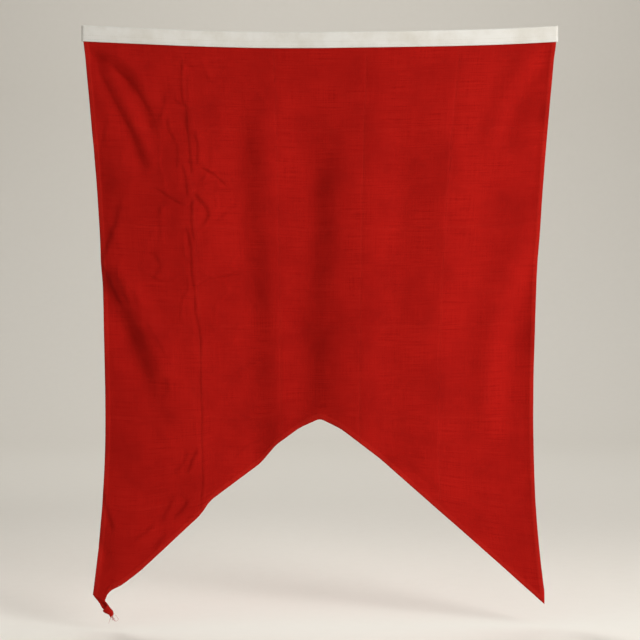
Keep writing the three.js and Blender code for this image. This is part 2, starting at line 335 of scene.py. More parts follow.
def softNoise(u, v, seed):  # smooth random field between values at whole numbers
    table = np.random.default_rng(seed).uniform(-1, 1, (noiseCells, noiseCells))
    i, j = np.floor(u).astype(int), np.floor(v).astype(int)
    fu, fv = u - i, v - j
    fu, fv = fu * fu * (3 - 2 * fu), fv * fv * (3 - 2 * fv)
    i, j = i % noiseCells, j % noiseCells
    nextI, nextJ = (i + 1) % noiseCells, (j + 1) % noiseCells
    low = table[i, j] * (1 - fu) + table[nextI, j] * fu
    high = table[i, nextJ] * (1 - fu) + table[nextI, nextJ] * fu
    return low * (1 - fv) + high * fv


def varied(u, v, mean, spread, sizeU, sizeV, seed):  # random field about a mean
    return mean + spread * softNoise(u / sizeU, v / sizeV, seed)


def headingWave(x):
    return foldSet["waveHeight"] * np.sin(2 * np.pi * x / foldSet["waveLength"])


def pressedNet(across, down):  # squares left by packing, with lines that change sides from strip to strip
    side = cut["packFold"]
    strip = np.sin(np.pi * across / side)
    tilt = np.abs((across / side) % 2 - 1) - 0.5
    tiltDown = np.abs((down / side) % 2 - 1) - 0.5
    lineAcross = np.abs(across - side * np.round(across / side))
    lineDown = np.abs(down - side * np.round(down / side))
    firstLine = np.abs(across - side) < side / 2  # the first pressed fold is given in the fold lists instead
    depth = foldSet["lineDepth"] * varied(across, down, *foldSet["pressVary"])
    height = foldSet["facetAcross"] * tilt + foldSet["facetDown"] * tiltDown * strip
    height = height - np.where(firstLine, 0, depth * np.exp(-lineAcross / foldSet["lineWidth"]))
    return height - depth * strip * np.exp(-lineDown / foldSet["lineWidth"])


def hangingSwells(x, z, drop):  # belly of the cloth and swing of the tails
    phase = 2 * np.pi * (x - foldSet["bellyShift"]) / foldSet["bellyLength"] + drop / foldSet["bellyLean"]
    belly = foldSet["bellyHeight"] * np.sin(phase) * np.minimum(drop / foldSet["bellyFullDrop"], 1)
    swing = smoothStep(-z, -hung["waistLevel"], -hung["tailLevel"])
    return belly - foldSet["tailSwing"] * swing * np.clip(x / foldSet["tailSwingWidth"], -1, 1)


def wander(x, z, seed):  # a long random shift, and half as much of a short one
    long, short = foldSet["jogLong"], foldSet["jogShort"]
    shift = softNoise(x / long, z / long, seed) + 0.5 * softNoise(x / short, z / short, seed + 1)
    return foldSet["jog"] * shift


def crumples(x, z):
    size, bend, least = crumpleSet["size"], crumpleSet["bendSize"], crumpleSet["least"]
    bendU, bendV = [crumpleSet["bend"] * softNoise(x / bend, z / bend, seed) for seed in (14, 15)]
    veins = softNoise(x / size + bendU, z / (crumpleSet["stretch"] * size) + bendV, 16)
    near = np.exp(-((x - crumpleSet["centre"]) / crumpleSet["reach"]) ** 2)
    near = least + (1 - least) * near * smoothStep(z, *crumpleSet["fadeLevels"])
    return crumpleSet["height"] * near * (1 - np.abs(veins)) ** crumpleSet["sharpness"]


def hemStray(across, down, sideGap, cutGap):
    still, size = hemSet["stillWave"], hemSet["puckerSize"]
    flutter = np.exp(-cutGap / hemSet["cutReach"]) * softNoise(across / hemSet["cutWave"], down / still, 31)
    side = np.exp(-sideGap / hemSet["sideReach"]) * softNoise(across / still, down / hemSet["sideWave"], 32)
    pucker = np.exp(-(np.minimum(sideGap, cutGap) / hemSet["puckerReach"]) ** 2)
    pucker = pucker * softNoise(across / size, down / size, 33)
    return hemSet["flutter"] * (flutter + hemSet["sideShare"] * side) + hemSet["pucker"] * pucker


def clothHeight(x, z, across, down, sideGap, cutGap):  # height to the front, and painted shade lines in tight creases
    drop = topEdge(x) - z
    free = smoothStep(drop, foldSet["startDrop"], foldSet["fullDrop"])
    height = hangingSwells(x, z, drop) + pressedNet(across, down)
    strength = varied(x, z, *foldSet["mainVary"])
    for fold in mainFolds:
        height = height + foldField(fold, x, z)[0] * strength
    # painted shade in tight creases, gathered from the small creases
    lines = np.zeros(x.shape)
    jogX, jogZ = x + wander(x, z, 23), z + wander(x, z, 25)
    strength = varied(x, z, *foldSet["smallVary"])
    for fold in smallCreases:
        rise, line = foldField(fold, jogX, jogZ)
        height = height + rise * strength
        if fold[0] != "ridge":
            lines = np.maximum(lines, line)
    lines = lines * varied(x, z, *foldSet["lineVary"])
    for size, tall, seed in foldSet["unevenness"]:
        height = height + tall * softNoise(across / size, down / size, seed)
    height = height + crumples(x, z) + hemStray(across, down, sideGap, cutGap)
    return headingWave(x) + free * height, free * lines


def addObject(name, data):
    made = bpy.data.objects.new(name, data)
    bpy.context.scene.collection.objects.link(made)
    return made


def meshObject(name, points, faces, uvs=None, floats=None):
    mesh = bpy.data.meshes.new(name)
    mesh.from_pydata(np.asarray(points).tolist(), [], [list(map(int, face)) for face in faces])
    loops = np.zeros(len(mesh.loops), np.int32)
    mesh.loops.foreach_get("vertex_index", loops)
    if uvs is not None:
        layer = mesh.uv_layers.new(name="flatCut")
        layer.uv.foreach_set("vector", np.asarray(uvs, np.float32)[loops].ravel())
    for key, values in (floats or {}).items():
        layer = mesh.attributes.new(key, "FLOAT", "POINT")
        layer.data.foreach_set("value", np.asarray(values, np.float32))
    mesh.shade_smooth()
    mesh.update()
    return addObject(name, mesh)


def gridCells(index):  # four-cornered cells between the numbered points of a grid
    corners = [index[:-1, :-1], index[1:, :-1], index[1:, 1:], index[:-1, 1:]]
    return np.stack(corners, axis=-1).reshape(-1, 4)


def unit(vectors):
    return vectors / np.linalg.norm(vectors, axis=1, keepdims=True)


def sheetNormals(points, cells):
    corners = points[cells]
    facing = np.cross(corners[:, 2] - corners[:, 0], corners[:, 3] - corners[:, 1])
    normals = np.zeros(points.shape)
    for k in range(4):
        np.add.at(normals, cells[:, k], facing)
    return unit(normals)


def thickenSheet(points, cells, thickness):  # closed body around a sheet: front, back and rim
    normals = sheetNormals(points, cells)
    half = (thickness / 2)[:, None] * normals
    back = len(points)
    rim = {}
    for a, b, c, d in cells.tolist():
        for edge in ((a, b), (b, c), (c, d), (d, a)):
            if rim.pop((edge[1], edge[0]), None) is None:
                rim[edge] = True
    faces = cells.tolist() + (cells[:, ::-1] + back).tolist()
    faces += [(to, start, back + start, back + to) for start, to in rim]
    return np.vstack([points + half, points - half]), faces, normals


# cloth panel: grid of the flat cut, finer in the hems and along pressed folds
clothSet = {
    "thickness": 0.7,
    "hemWidth": 7,
    "hemThickness": 1.5,
    "hemBlend": 0.7,  # half width of the step from cloth to hem
    "stitchInset": 5.2,
    "rowsOver": (9, 7.5, 6.5),  # rows along the cut by their distance from it, over and under the stitches
    "rowsUnder": (3.6, 1.8, 0),
    "firstDrop": 1.4,
    "creaseRows": [(40, 4.7), (62, 2.2), (100, 4.0), (148, 2.9), (157, 1.8), (212, 3.3), (310, 2.1),
                   (366, 3.5), (426, 2.2), (452, 4.3), (462, 2.0)],  # drops and row heights
    "tailDrop": 560,  # rows are level above this drop and follow the cut below it
    "tailRows": 58,
    "tailGuess": 300,  # first guess of how far the tails hang below that
    "rounds": 8,  # rounds in which width and level settle
    "neckGap": 12,  # the neck of the twist has no hem along the cut
}


def gridStops(start, spans):  # spans are an end and a cell size each
    stops = [start]
    for end, cell in spans:
        count = max(int(round((end - stops[-1]) / cell)), 1)
        stops += list(np.linspace(stops[-1], end, count + 1)[1:])
    return np.array(stops)


def acrossStops():
    hem, inset, wide, side = clothSet["hemWidth"], clothSet["stitchInset"], cut["hoist"], cut["packFold"]
    spans = [(inset, 1.3), (hem - 0.5, 1.3), (hem + 0.5, 0.5), (flatNeck, 2.4), (100, 3.2)]
    spans += [(side - 4, 1.8), (side + 4, 1.3), (226, 1.9)]  # most creases are here
    spans += [(2 * side - 4, 3.8), (2 * side + 4, 2.0)]
    spans += [(wide / 2 - 12, 10), (wide / 2 + 12, 3.0)]  # top of the swallow cut
    for k in (3, 4):
        spans += [(k * side - 4, 10), (k * side + 4, 2.0)]
    spans += [(wide - hem - 0.5, 10), (wide - hem + 0.5, 0.5), (wide - inset, 1.3), (wide, 1.3)]
    return gridStops(0, spans)


def downRows():  # rows as drop below the top edge, share of the way to the cut, rise above the cut
    gaps = (*clothSet["rowsOver"], clothSet["stitchInset"], *clothSet["rowsUnder"])
    hemRises = [cutSlope * gap for gap in gaps]
    tail = clothSet["tailDrop"]
    spans = [(foldSet["startDrop"], 8), *clothSet["creaseRows"], (tail, 4.7)]
    rows = [(drop, 0, 0) for drop in gridStops(clothSet["firstDrop"], spans)[:-1]]
    rows += [(tail, share, hemRises[0]) for share in np.linspace(0, 1, clothSet["tailRows"])]
    return rows + [(tail, 1, rise) for rise in hemRises[1:]]


def clothGrid():
    rows = np.array(downRows())
    across, down = np.meshgrid(acrossStops(), np.arange(len(rows)))
    drop, share, rise = rows.T[:, down]
    z = -drop - clothSet["tailGuess"] * share
    for _ in range(clothSet["rounds"]):  # width and level depend on each other
        x = hungX(across, z)
        z = (1 - share) * (topEdge(x) - drop) + share * (lowerLevel(x) + rise)
    length = cutLength(across)
    flatDown = (1 - share) * drop + share * (length - rise)
    sideGap = np.minimum(across, cut["hoist"] - across)
    cutGap = np.maximum(length - flatDown, 0) / cutSlope
    cutGap = np.where(across <= flatNeck, np.maximum(cutGap, clothSet["neckGap"]), cutGap)
    height, lines = clothHeight(x, z, across, flatDown, sideGap, cutGap)
    hemEdge, blend = clothSet["hemWidth"], clothSet["hemBlend"]
    hem = 1 - smoothStep(np.minimum(sideGap, cutGap), hemEdge - blend, hemEdge + blend)
    places = np.stack([x, -height, z], axis=-1)
    return places, across, flatDown, hem, lines


def neckColumns(across):  # columns of the grid that run on into the twist
    return int((across <= flatNeck + 1e-6).sum())


# twisted end of the left tail, rolled up from its two hems
twistSet = {
    "outer": [(-348.6, -867), (-342, -877), (-336, -887.5), (-331, -894), (-324, -897.5), (-322, -901)],
    "inner": [(-330, -877), (-326.5, -882), (-322, -888), (-318, -893), (-317.5, -899)],
    "rows": 34,
    "roll": math.radians(285),  # how far the strip is rolled about its length
    "rollBy": 0.55,  # share of the length by which it is fully rolled
    "turn": math.radians(230),  # how far the roll is twisted from neck to end
    "turnFrom": 0.1,
    "depth": 0.72,  # roll is a little flattened
    "levelBy": 0.35,  # share of the length by which the neck's folds have died
    "flatLength": 30,
    "hemShare": 0.6,  # the strip is mostly hem
}


def twistRows(neck):
    outer = smoothPath(twistSet["outer"], twistSet["rows"])
    inner = smoothPath(twistSet["inner"], twistSet["rows"])
    spread = np.linspace(-1, 1, len(neck))
    rows = []
    for i in range(1, twistSet["rows"] + 1):
        down = i / twistSet["rows"]
        middle = (outer[i] + inner[i]) / 2
        lateral = (inner[i] - outer[i]) / 2
        wide = np.linalg.norm(lateral)
        lateral = lateral / wide
        roll = twistSet["roll"] * smoothStep(down, 0, twistSet["rollBy"]) + 1e-3  # never quite flat
        radius = wide / math.sin(min(roll, math.pi) / 2)
        angle = spread * roll / 2
        sideways = radius * np.sin(angle)
        deep = radius * (1 - np.cos(angle)) - radius * smoothStep(roll, 0, math.pi)
        turn = twistSet["turn"] * smoothStep(down, twistSet["turnFrom"], 1.0)
        rolledSide = sideways * math.cos(turn) - deep * math.sin(turn)
        rolledDeep = twistSet["depth"] * (sideways * math.sin(turn) + deep * math.cos(turn))
        held = smoothStep(down, 0, twistSet["levelBy"])
        x = middle[0] + lateral[0] * rolledSide
        z = middle[1] + lateral[1] * rolledSide
        y = neck[:, 1] * (1 - held) + neck[:, 1].mean() * held - rolledDeep
        rows.append(np.stack([x, y, z], axis=-1))
    return np.array(rows)


def buildCloth():
    places, across, flatDown, hem, lines = clothGrid()
    rows, columns = across.shape
    index = np.arange(rows * columns).reshape(rows, columns)
    neckCount = neckColumns(across[0])
    twist = twistRows(places[-1, :neckCount])
    twistIndex = rows * columns + np.arange(twist[..., 0].size).reshape(twist.shape[:2])
    twistIndex = np.vstack([index[-1, :neckCount], twistIndex])
    twistSteps = np.linspace(0, twistSet["flatLength"], twistSet["rows"] + 1)[1:, None]
    twistDown = flatDown[-1, :neckCount] + twistSteps
    twistAcross = np.broadcast_to(across[-1, :neckCount], twistDown.shape)
    points = np.vstack([places.reshape(-1, 3), twist.reshape(-1, 3)])
    hems = np.concatenate([hem.ravel(), np.full(twistDown.size, twistSet["hemShare"])])
    lines = np.concatenate([lines.ravel(), np.zeros(twistDown.size)])
    flat = np.stack([np.concatenate([across.ravel(), twistAcross.ravel()]),
                     np.concatenate([flatDown.ravel(), twistDown.ravel()])], axis=-1)
    thickness = clothSet["thickness"] + hems * (clothSet["hemThickness"] - clothSet["thickness"])
    cells = np.vstack([gridCells(index), gridCells(twistIndex)])
    solid, faces, normals = thickenSheet(points, cells, thickness)
    # the crease attribute holds painted shade for tight creases
    cloth = meshObject("flagCloth", solid * mm, faces, np.tile(flat, (2, 1)) * mm,
                       {"hem": np.tile(hems, 2), "paintedCreaseShade": np.tile(lines, 2)})
    grid = {
        "places": places,
        "normals": normals[:rows * columns].reshape(rows, columns, 3),
        "thickness": thickness[:rows * columns].reshape(rows, columns),
        "across": across,
        "twist": twist,
    }
    print("cloth:", len(faces), "faces")
    return cloth, grid


# heading: canvas strip folded over the hoist edge
headingSet = {
    "depth": 25,
    "legOffset": 1.5,  # middle of each leg from the middle of the cloth
    "thickness": 0.8,
    "station": 4,
    "levels": 13,
    "foldSteps": 6,
    "seamLevels": (3.2, 9.55),  # two rows of stitches above the lower edge, 6.35 apart
    "grooveDepth": 0.24,  # the stitches draw the canvas in
    "grooveWidth": 2.2,
    "bumps": [(0.096, 7, 9, 41), (0.1, 30, 14, 42)],  # height, size along, size down, seed
}


def headingGrid():
    offset, depth = headingSet["legOffset"], headingSet["depth"]
    legs = np.linspace(-depth, -offset - headingSet["thickness"] / 2, headingSet["levels"])
    bends = np.linspace(np.pi, 0, headingSet["foldSteps"] + 1)[1:-1]
    top = -headingSet["thickness"] / 2 - offset
    section = [(-offset, level) for level in legs]
    section += [(offset * math.cos(bend), top + offset * math.sin(bend)) for bend in bends]
    section += [(offset, level) for level in legs[::-1]]
    section = np.array(section)
    count = int(2 * hung["topHalfWidth"] / headingSet["station"])
    x = np.linspace(-hung["topHalfWidth"], hung["topHalfWidth"], count)[::-1]
    x, sideways = np.meshgrid(x, section[:, 0], indexing="ij")
    level = np.broadcast_to(section[:, 1], x.shape)
    slope = (headingWave(x + 1) - headingWave(x - 1)) / 2
    length = np.hypot(1, slope)
    side = np.sign(sideways)
    rises = [(level + depth - rise) / headingSet["grooveWidth"] for rise in headingSet["seamLevels"]]
    puff = -headingSet["grooveDepth"] * sum(np.exp(-rise ** 2) for rise in rises)
    for tall, long, high, seed in headingSet["bumps"]:  # front and back take different parts of the noise
        puff = puff + tall * softNoise(x / long, level / high + 20 * side, seed)
    out = sideways + side * puff
    y = -headingWave(x) + out / length
    places = np.stack([x + out * slope / length, y, topEdge(x) + level], axis=-1)
    travel = np.concatenate([[0], np.cumsum(np.linalg.norm(np.diff(section, axis=0), axis=1))])
    flat = np.stack([x + hung["topHalfWidth"], np.broadcast_to(travel, x.shape)], axis=-1)
    return places, flat


def buildHeading():
    places, flat = headingGrid()
    points = places.reshape(-1, 3)
    cells = gridCells(np.arange(len(points)).reshape(places.shape[:2]))
    thickness = np.full(len(points), headingSet["thickness"])
    solid, faces, normals = thickenSheet(points, cells, thickness)
    heading = meshObject("canvasHeading", solid * mm, faces, np.tile(flat.reshape(-1, 2), (2, 1)) * mm)
    print("heading:", len(faces), "faces")
    return heading, {"places": places, "normals": normals.reshape(places.shape)}


# shared helpers for node trees and colours
def hexColour(code):  # linear colour of an sRGB code
    parts = [int(code[i:i + 2], 16) / 255 for i in (1, 3, 5)]
    linear = [part / 12.92 if part <= 0.04045 else ((part + 0.055) / 1.055) ** 2.4 for part in parts]
    return (*linear, 1.0)


def addNode(tree, kind, links=(), **settings):  # links by socket, or in a list for the first sockets
    node = tree.nodes.new(kind)
    for name, value in settings.items():
        setattr(node, name, value)
    if not isinstance(links, dict):
        links = dict(enumerate(links))
    for socket, source in links.items():
        if isinstance(source, bpy.types.Node):  # a node stands for its first output
            source = source.outputs[0]
        if isinstance(source, bpy.types.NodeSocket):
            tree.links.new(source, node.inputs[socket])
        else:
            node.inputs[socket].default_value = source
    return node


def newMaterial(name):
    material = bpy.data.materials.new(name)
    material.use_nodes = True
    material.node_tree.nodes.clear()
    return material, material.node_tree


def flatWeave(tree, pitch):  # place on the flat cut in mm, its two distances, and a plain weave
    flat = addNode(tree, "ShaderNodeUVMap", uv_map="flatCut")
    flat = addNode(tree, "ShaderNodeVectorMath", {0: flat, "Scale": 1 / mm}, operation="SCALE")
    place = addNode(tree, "ShaderNodeSeparateXYZ", [flat]).outputs
    waves = []
    for axis in ("X", "Y"):  # one wave along each thread direction
        turn = addNode(tree, "ShaderNodeMath", [place[axis], 2 * math.pi / pitch], operation="MULTIPLY")
        waves.append(addNode(tree, "ShaderNodeMath", [turn], operation="SINE"))
    return flat, place, addNode(tree, "ShaderNodeMath", waves, operation="MULTIPLY")


# red bunting: plain-woven dyed cloth, matt with a little fuzz, slubs in both thread directions
buntingLook = {
    "dye": "#9E0F09",
    "worn": "#AC1A12",  # rubbed slubs, hems and pressed lines
    "deep": "#860A06",  # soiled patches and hollows between slubs, and painted shade in creases and along pressed lines
    "fuzz": "#D8503F",
    "weavePitch": 1.9,  # real threads are about 0.5 mm apart, drawn coarser so that they show
    "slubLong": 60,
    "slubThin": 1.7,
    "slubShares": (1.3, 0.7),  # slubs across show more than slubs down
    "patch": 85,  # sizes of soiled patches, fine wrinkles and soft crumples
    "wrinkle": 11,
    "crumple": 62,
    "drift": 3.5,  # pressed lines wander by up to this much
    "driftLong": 38,
    "pressBand": (0.8, 3.2),  # rubbed band beside a pressed line, from full to none
    "pressShadeCore": (0.3, 1.2),  # painted shade along the middle of it
    "levelFaint": 0.8,  # level pressed lines are this much thinner on each side
    "coreBreaks": (0.38, 0.6, 0.1, 0.8),  # old range and new range
    "slubRub": (0.7, 1.35, 0.0, 0.55),
    "patchSoil": (0.42, 0.72, 0.0, 0.6),
    "slubSoil": (0.95, 0.6, 0.0, 0.7),
    "pressRub": 0.5,
    "hemRub": 0.7,
    # painted shade: shares of the darker colour in tight creases and along the middle of pressed lines
    "creaseShadeShare": 0.36,
    "pressShadeShare": 0.4,
    "reliefShares": (0.1, 1.0, 3.0),  # weave, wrinkles and crumples on top of the slubs
    "bumpStrength": 0.55,
    "bumpDepth": 0.35,
    "roughness": 0.86,
}


def makeBunting():
    look = buntingLook
    material, tree = newMaterial("redBunting")
    flat, place, weave = flatWeave(tree, look["weavePitch"])
    long, thin = 1 / look["slubLong"], 1 / look["slubThin"]
    slub = 0.0
    for scale, share in zip(((long, thin, 1), (thin, long, 1)), look["slubShares"]):
        stretched = addNode(tree, "ShaderNodeMapping", {"Vector": flat, "Scale": scale})
        noise = addNode(tree, "ShaderNodeTexNoise", {"Vector": stretched, "Scale": 1.0, "Detail": 2.0})
        slub = addNode(tree, "ShaderNodeMath", [noise, share, slub], operation="MULTIPLY_ADD")
    patch = addNode(tree, "ShaderNodeTexNoise", {"Vector": flat, "Scale": 1 / look["patch"], "Detail": 5.0,
                                                 "Roughness": 0.62})
    wrinkle = addNode(tree, "ShaderNodeTexNoise", {"Vector": flat, "Scale": 1 / look["wrinkle"],
                                                   "Detail": 3.0})
    crumple = addNode(tree, "ShaderNodeTexNoise", {"Vector": flat, "Scale": 1 / look["crumple"],
                                                   "Detail": 2.0, "Distortion": 0.5},
                      noise_type="RIDGED_MULTIFRACTAL", normalize=True)
    drift = addNode(tree, "ShaderNodeTexNoise", {"Vector": flat, "Scale": 1 / look["driftLong"],
                                                 "Detail": 2.0})
    drift = addNode(tree, "ShaderNodeMapRange", [drift, 0.2, 0.8, -look["drift"], look["drift"]])
    aways = []
    for axis in ("X", "Y"):  # lines where the flag was pressed in squares
        shifted = addNode(tree, "ShaderNodeMath", [place[axis], drift], operation="ADD")
        aways.append(addNode(tree, "ShaderNodeMath", [shifted, cut["packFold"] / 2], operation="PINGPONG"))
    faint = addNode(tree, "ShaderNodeMath", [aways[1], look["levelFaint"]], operation="ADD")
    away = addNode(tree, "ShaderNodeMath", [aways[0], faint], operation="MINIMUM")
    band = addNode(tree, "ShaderNodeMapRange", [away, *look["pressBand"], 1.0, 0.0])
    band = addNode(tree, "ShaderNodeMath", [band, wrinkle], operation="MULTIPLY")
    # painted shade along the middle of each pressed line, broken up by wrinkles
    pressLineShade = addNode(tree, "ShaderNodeMapRange", [away, *look["pressShadeCore"], 1.0, 0.0])
    broken = addNode(tree, "ShaderNodeMapRange", [wrinkle, *look["coreBreaks"]])
    pressLineShade = addNode(tree, "ShaderNodeMath", [pressLineShade, broken], operation="MULTIPLY")
    # the crease attribute is painted shade for tight creases
    hem, crease = [addNode(tree, "ShaderNodeAttribute", attribute_name=name).outputs["Fac"]
                   for name in ("hem", "paintedCreaseShade")]
    rubbed = addNode(tree, "ShaderNodeMapRange", [slub, *look["slubRub"]])
    for layer, share in ((band, look["pressRub"]), (hem, look["hemRub"])):
        rubbed = addNode(tree, "ShaderNodeMath", [layer, share, rubbed], operation="MULTIPLY_ADD")
    soils = [addNode(tree, "ShaderNodeMapRange", [patch, *look["patchSoil"]]),
             addNode(tree, "ShaderNodeMapRange", [slub, *look["slubSoil"]])]
    soiled = addNode(tree, "ShaderNodeMath", soils, operation="MAXIMUM")
    # painted shade of tight creases and of the middle of pressed lines, mixed in with the soil
    for layer, share in ((crease, look["creaseShadeShare"]), (pressLineShade, look["pressShadeShare"])):
        soiled = addNode(tree, "ShaderNodeMath", [layer, share, soiled], operation="MULTIPLY_ADD")
    colour = hexColour(look["dye"])
    for share, code in ((rubbed, look["worn"]), (soiled, look["deep"])):
        colour = addNode(tree, "ShaderNodeMix", {0: share, 6: colour, 7: hexColour(code)},
                         data_type="RGBA").outputs[2]
    relief = slub
    for layer, share in zip((weave, wrinkle, crumple), look["reliefShares"]):
        relief = addNode(tree, "ShaderNodeMath", [layer, share, relief], operation="MULTIPLY_ADD")
    bump = addNode(tree, "ShaderNodeBump", {"Height": relief, "Strength": look["bumpStrength"],
                                            "Distance": look["bumpDepth"] * mm})
    shader = addNode(tree, "ShaderNodeBsdfPrincipled", {
        "Base Color": colour, "Normal": bump, "Roughness": look["roughness"],
        "Specular IOR Level": 0.06, "Sheen Weight": 0.05, "Sheen Roughness": 0.5,
        "Sheen Tint": hexColour(look["fuzz"]),
    })
    addNode(tree, "ShaderNodeOutputMaterial", {"Surface": shader})
    return material


# off-white canvas: thick cotton threads in a plain weave, a little soiled
canvasLook = {
    "clean": "#DEDCD6",
    "soiled": "#C6C0B2",
    "weavePitch": 2.2,  # real threads are about 0.8 mm apart, drawn coarser so that they show
    "patch": 60,
    "patchSoil": (0.4, 0.75, 0.0, 0.8),  # old range and new range
    "weaveSoil": -0.12,  # raised threads are cleaner
    "bumpStrength": 0.6,
    "bumpDepth": 0.2,
    "roughness": 0.92,
}


def makeCanvas():
    look = canvasLook
    material, tree = newMaterial("whiteCanvas")
    flat, _, weave = flatWeave(tree, look["weavePitch"])
    patch = addNode(tree, "ShaderNodeTexNoise", {"Vector": flat, "Scale": 1 / look["patch"], "Detail": 6.0,
                                                 "Roughness": 0.65})
    soiled = addNode(tree, "ShaderNodeMapRange", [patch, *look["patchSoil"]])
    soiled = addNode(tree, "ShaderNodeMath", [weave, look["weaveSoil"], soiled], operation="MULTIPLY_ADD",
                     use_clamp=True)
    clean, dull = hexColour(look["clean"]), hexColour(look["soiled"])
    colour = addNode(tree, "ShaderNodeMix", {0: soiled, 6: clean, 7: dull}, data_type="RGBA").outputs[2]
    bump = addNode(tree, "ShaderNodeBump", {"Height": weave, "Strength": look["bumpStrength"],
                                            "Distance": look["bumpDepth"] * mm})
    shader = addNode(tree, "ShaderNodeBsdfPrincipled", {
        "Base Color": colour, "Normal": bump, "Roughness": look["roughness"],
        "Specular IOR Level": 0.25, "Sheen Weight": 0.08,
    })
    addNode(tree, "ShaderNodeOutputMaterial", {"Surface": shader})
    return material


# sewing thread: twisted yarn with a soft shine, its plies drawn as fine light and dark
threadLook = {
    "red": "#A5120B",
    "white": "#CFCBC0",
    "frayed": "#B0352B",
    "plyPitch": 0.9,
    "plyShade": 0.6,  # darker colour that is mixed in, as a share of the thread's own
    "plyMix": (0.3, 0.7, 0.72, 1.0),  # old range and new range, where 1 is none of the darker colour
    "roughness": 0.75,
}


def makeThread(name, code):
    material, tree = newMaterial(name)
    place = addNode(tree, "ShaderNodeTexCoord").outputs["Object"]
    plies = addNode(tree, "ShaderNodeTexNoise", {"Vector": place, "Scale": 1 / (threadLook["plyPitch"] * mm),
                                                 "Detail": 2.0})
    shade = addNode(tree, "ShaderNodeMapRange", [plies, *threadLook["plyMix"]])
    full = hexColour(code)
    dark = tuple(threadLook["plyShade"] * part for part in full[:3]) + (1.0,)
    colour = addNode(tree, "ShaderNodeMix", {0: shade, 6: dark, 7: full}, data_type="RGBA").outputs[2]
    shader = addNode(tree, "ShaderNodeBsdfPrincipled", {
        "Base Color": colour, "Roughness": threadLook["roughness"], "Specular IOR Level": 0.12})
    addNode(tree, "ShaderNodeOutputMaterial", {"Surface": shader})
    return material


# stitches: Geometry Nodes lay one short thread at each step of a seam line
stitchSet = {
    "pitch": 3.4,
    "length": 2.7,
    "radius": 0.34,
    "sink": 0.1,  # how deep the middle of a stitch lies
    "sizes": (0.85, 1.1),  # smallest and largest share of that size
    "seed": 7,
}


def stitchTree():
    tree = bpy.data.node_groups.new("seamStitches", "GeometryNodeTree")
    sockets = {"Geometry": "Geometry", "Pitch": "Float", "Length": "Float", "Radius": "Float",
               "Seed": "Int", "Thread": "Material"}
    for name, kind in sockets.items():
        tree.interface.new_socket(name, in_out="INPUT", socket_type="NodeSocket" + kind)
    tree.interface.new_socket("Geometry", in_out="OUTPUT", socket_type="NodeSocketGeometry")
    given = tree.nodes.new("NodeGroupInput").outputs
    line = addNode(tree, "GeometryNodeMeshToCurve", {"Mesh": given["Geometry"]})
    steps = addNode(tree, "GeometryNodeResampleCurve", {"Curve": line, "Length": given["Pitch"]},
                    mode="LENGTH")
    outward = addNode(tree, "GeometryNodeInputNamedAttribute", {"Name": "outward"},
                      data_type="FLOAT_VECTOR").outputs["Attribute"]
    tangent = addNode(tree, "GeometryNodeInputTangent")
    turned = addNode(tree, "FunctionNodeAlignRotationToVector", {"Vector": tangent}, axis="X")
    turned = addNode(tree, "FunctionNodeAlignRotationToVector", {"Rotation": turned, "Vector": outward},
                     axis="Z", pivot_axis="X")
    half = addNode(tree, "ShaderNodeMath", [given["Length"], 0.5], operation="MULTIPLY")
    radius = given["Radius"]
    size = addNode(tree, "ShaderNodeCombineXYZ", [half, radius, radius])
    small, large = stitchSet["sizes"]
    chance = addNode(tree, "FunctionNodeRandomValue", {"Seed": given["Seed"], 2: small, 3: large},
                     data_type="FLOAT").outputs[1]
    size = addNode(tree, "ShaderNodeVectorMath", {0: size, "Scale": chance}, operation="SCALE")
    shape = addNode(tree, "GeometryNodeMeshUVSphere", {"Segments": 6, "Rings": 4, "Radius": 1.0})
    laid = addNode(tree, "GeometryNodeInstanceOnPoints",
                   {"Points": steps, "Instance": shape, "Rotation": turned, "Scale": size})
    real = addNode(tree, "GeometryNodeRealizeInstances", {"Geometry": laid})
    smooth = addNode(tree, "GeometryNodeSetShadeSmooth", {"Geometry": real})
    dyed = addNode(tree, "GeometryNodeSetMaterial", {"Geometry": smooth, "Material": given["Thread"]})
    addNode(tree, "NodeGroupOutput", {"Geometry": dyed})
    return tree


def sewLines(name, lines, tree, thread):  # lines are pairs of places and outward directions, in mm
    places, outward, edges = [], [], []
    for linePlaces, lineOutward in lines:
        start = len(places)
        places += (linePlaces * mm).tolist()
        outward += lineOutward.tolist()
        edges += [(i, i + 1) for i in range(start, len(places) - 1)]
    mesh = bpy.data.meshes.new(name)
    mesh.from_pydata(places, edges, [])
    layer = mesh.attributes.new("outward", "FLOAT_VECTOR", "POINT")
    layer.data.foreach_set("vector", np.asarray(outward, np.float32).ravel())
    seam = addObject(name, mesh)
    sewn = seam.modifiers.new("stitches", "NODES")
    sewn.node_group = tree
    given = {key.capitalize(): stitchSet[key] * mm for key in ("pitch", "length", "radius")}
    given = {**given, "Seed": stitchSet["seed"], "Thread": thread}
    for item in tree.interface.items_tree:
        if item.in_out == "INPUT" and item.name in given:
            sewn[item.identifier] = given[item.name]
    shown = seam.evaluated_get(bpy.context.evaluated_depsgraph_get())
    made = bpy.data.meshes.new_from_object(shown)
    seam.modifiers.clear()
    seam.data = made
    made.name = name
    print(name + ":", len(made.polygons), "faces")
    return seam


def hemLines(grid):
    inset = clothSet["stitchInset"]
    across = grid["across"][0]
    first = int(np.argmin(np.abs(across - inset)))
    last = int(np.argmin(np.abs(across - (cut["hoist"] - inset))))
    underHeading = 4  # rows that the heading covers or nearly reaches
    neck = neckColumns(across)
    foot = -1 - len(clothSet["rowsUnder"])  # row with the stitches of the cut
    leftSide, rightSide = slice(underHeading, -1), slice(underHeading, foot + 1)
    runs = [(leftSide, first), (foot, slice(neck, last)), (rightSide, last)]
    lines = []
    for side in (1, -1):
        for run in runs:
            outward = grid["normals"][run] * side
            lift = grid["thickness"][run][:, None] / 2 - stitchSet["sink"]
            lines.append((grid["places"][run] + outward * lift, outward))
    return lines


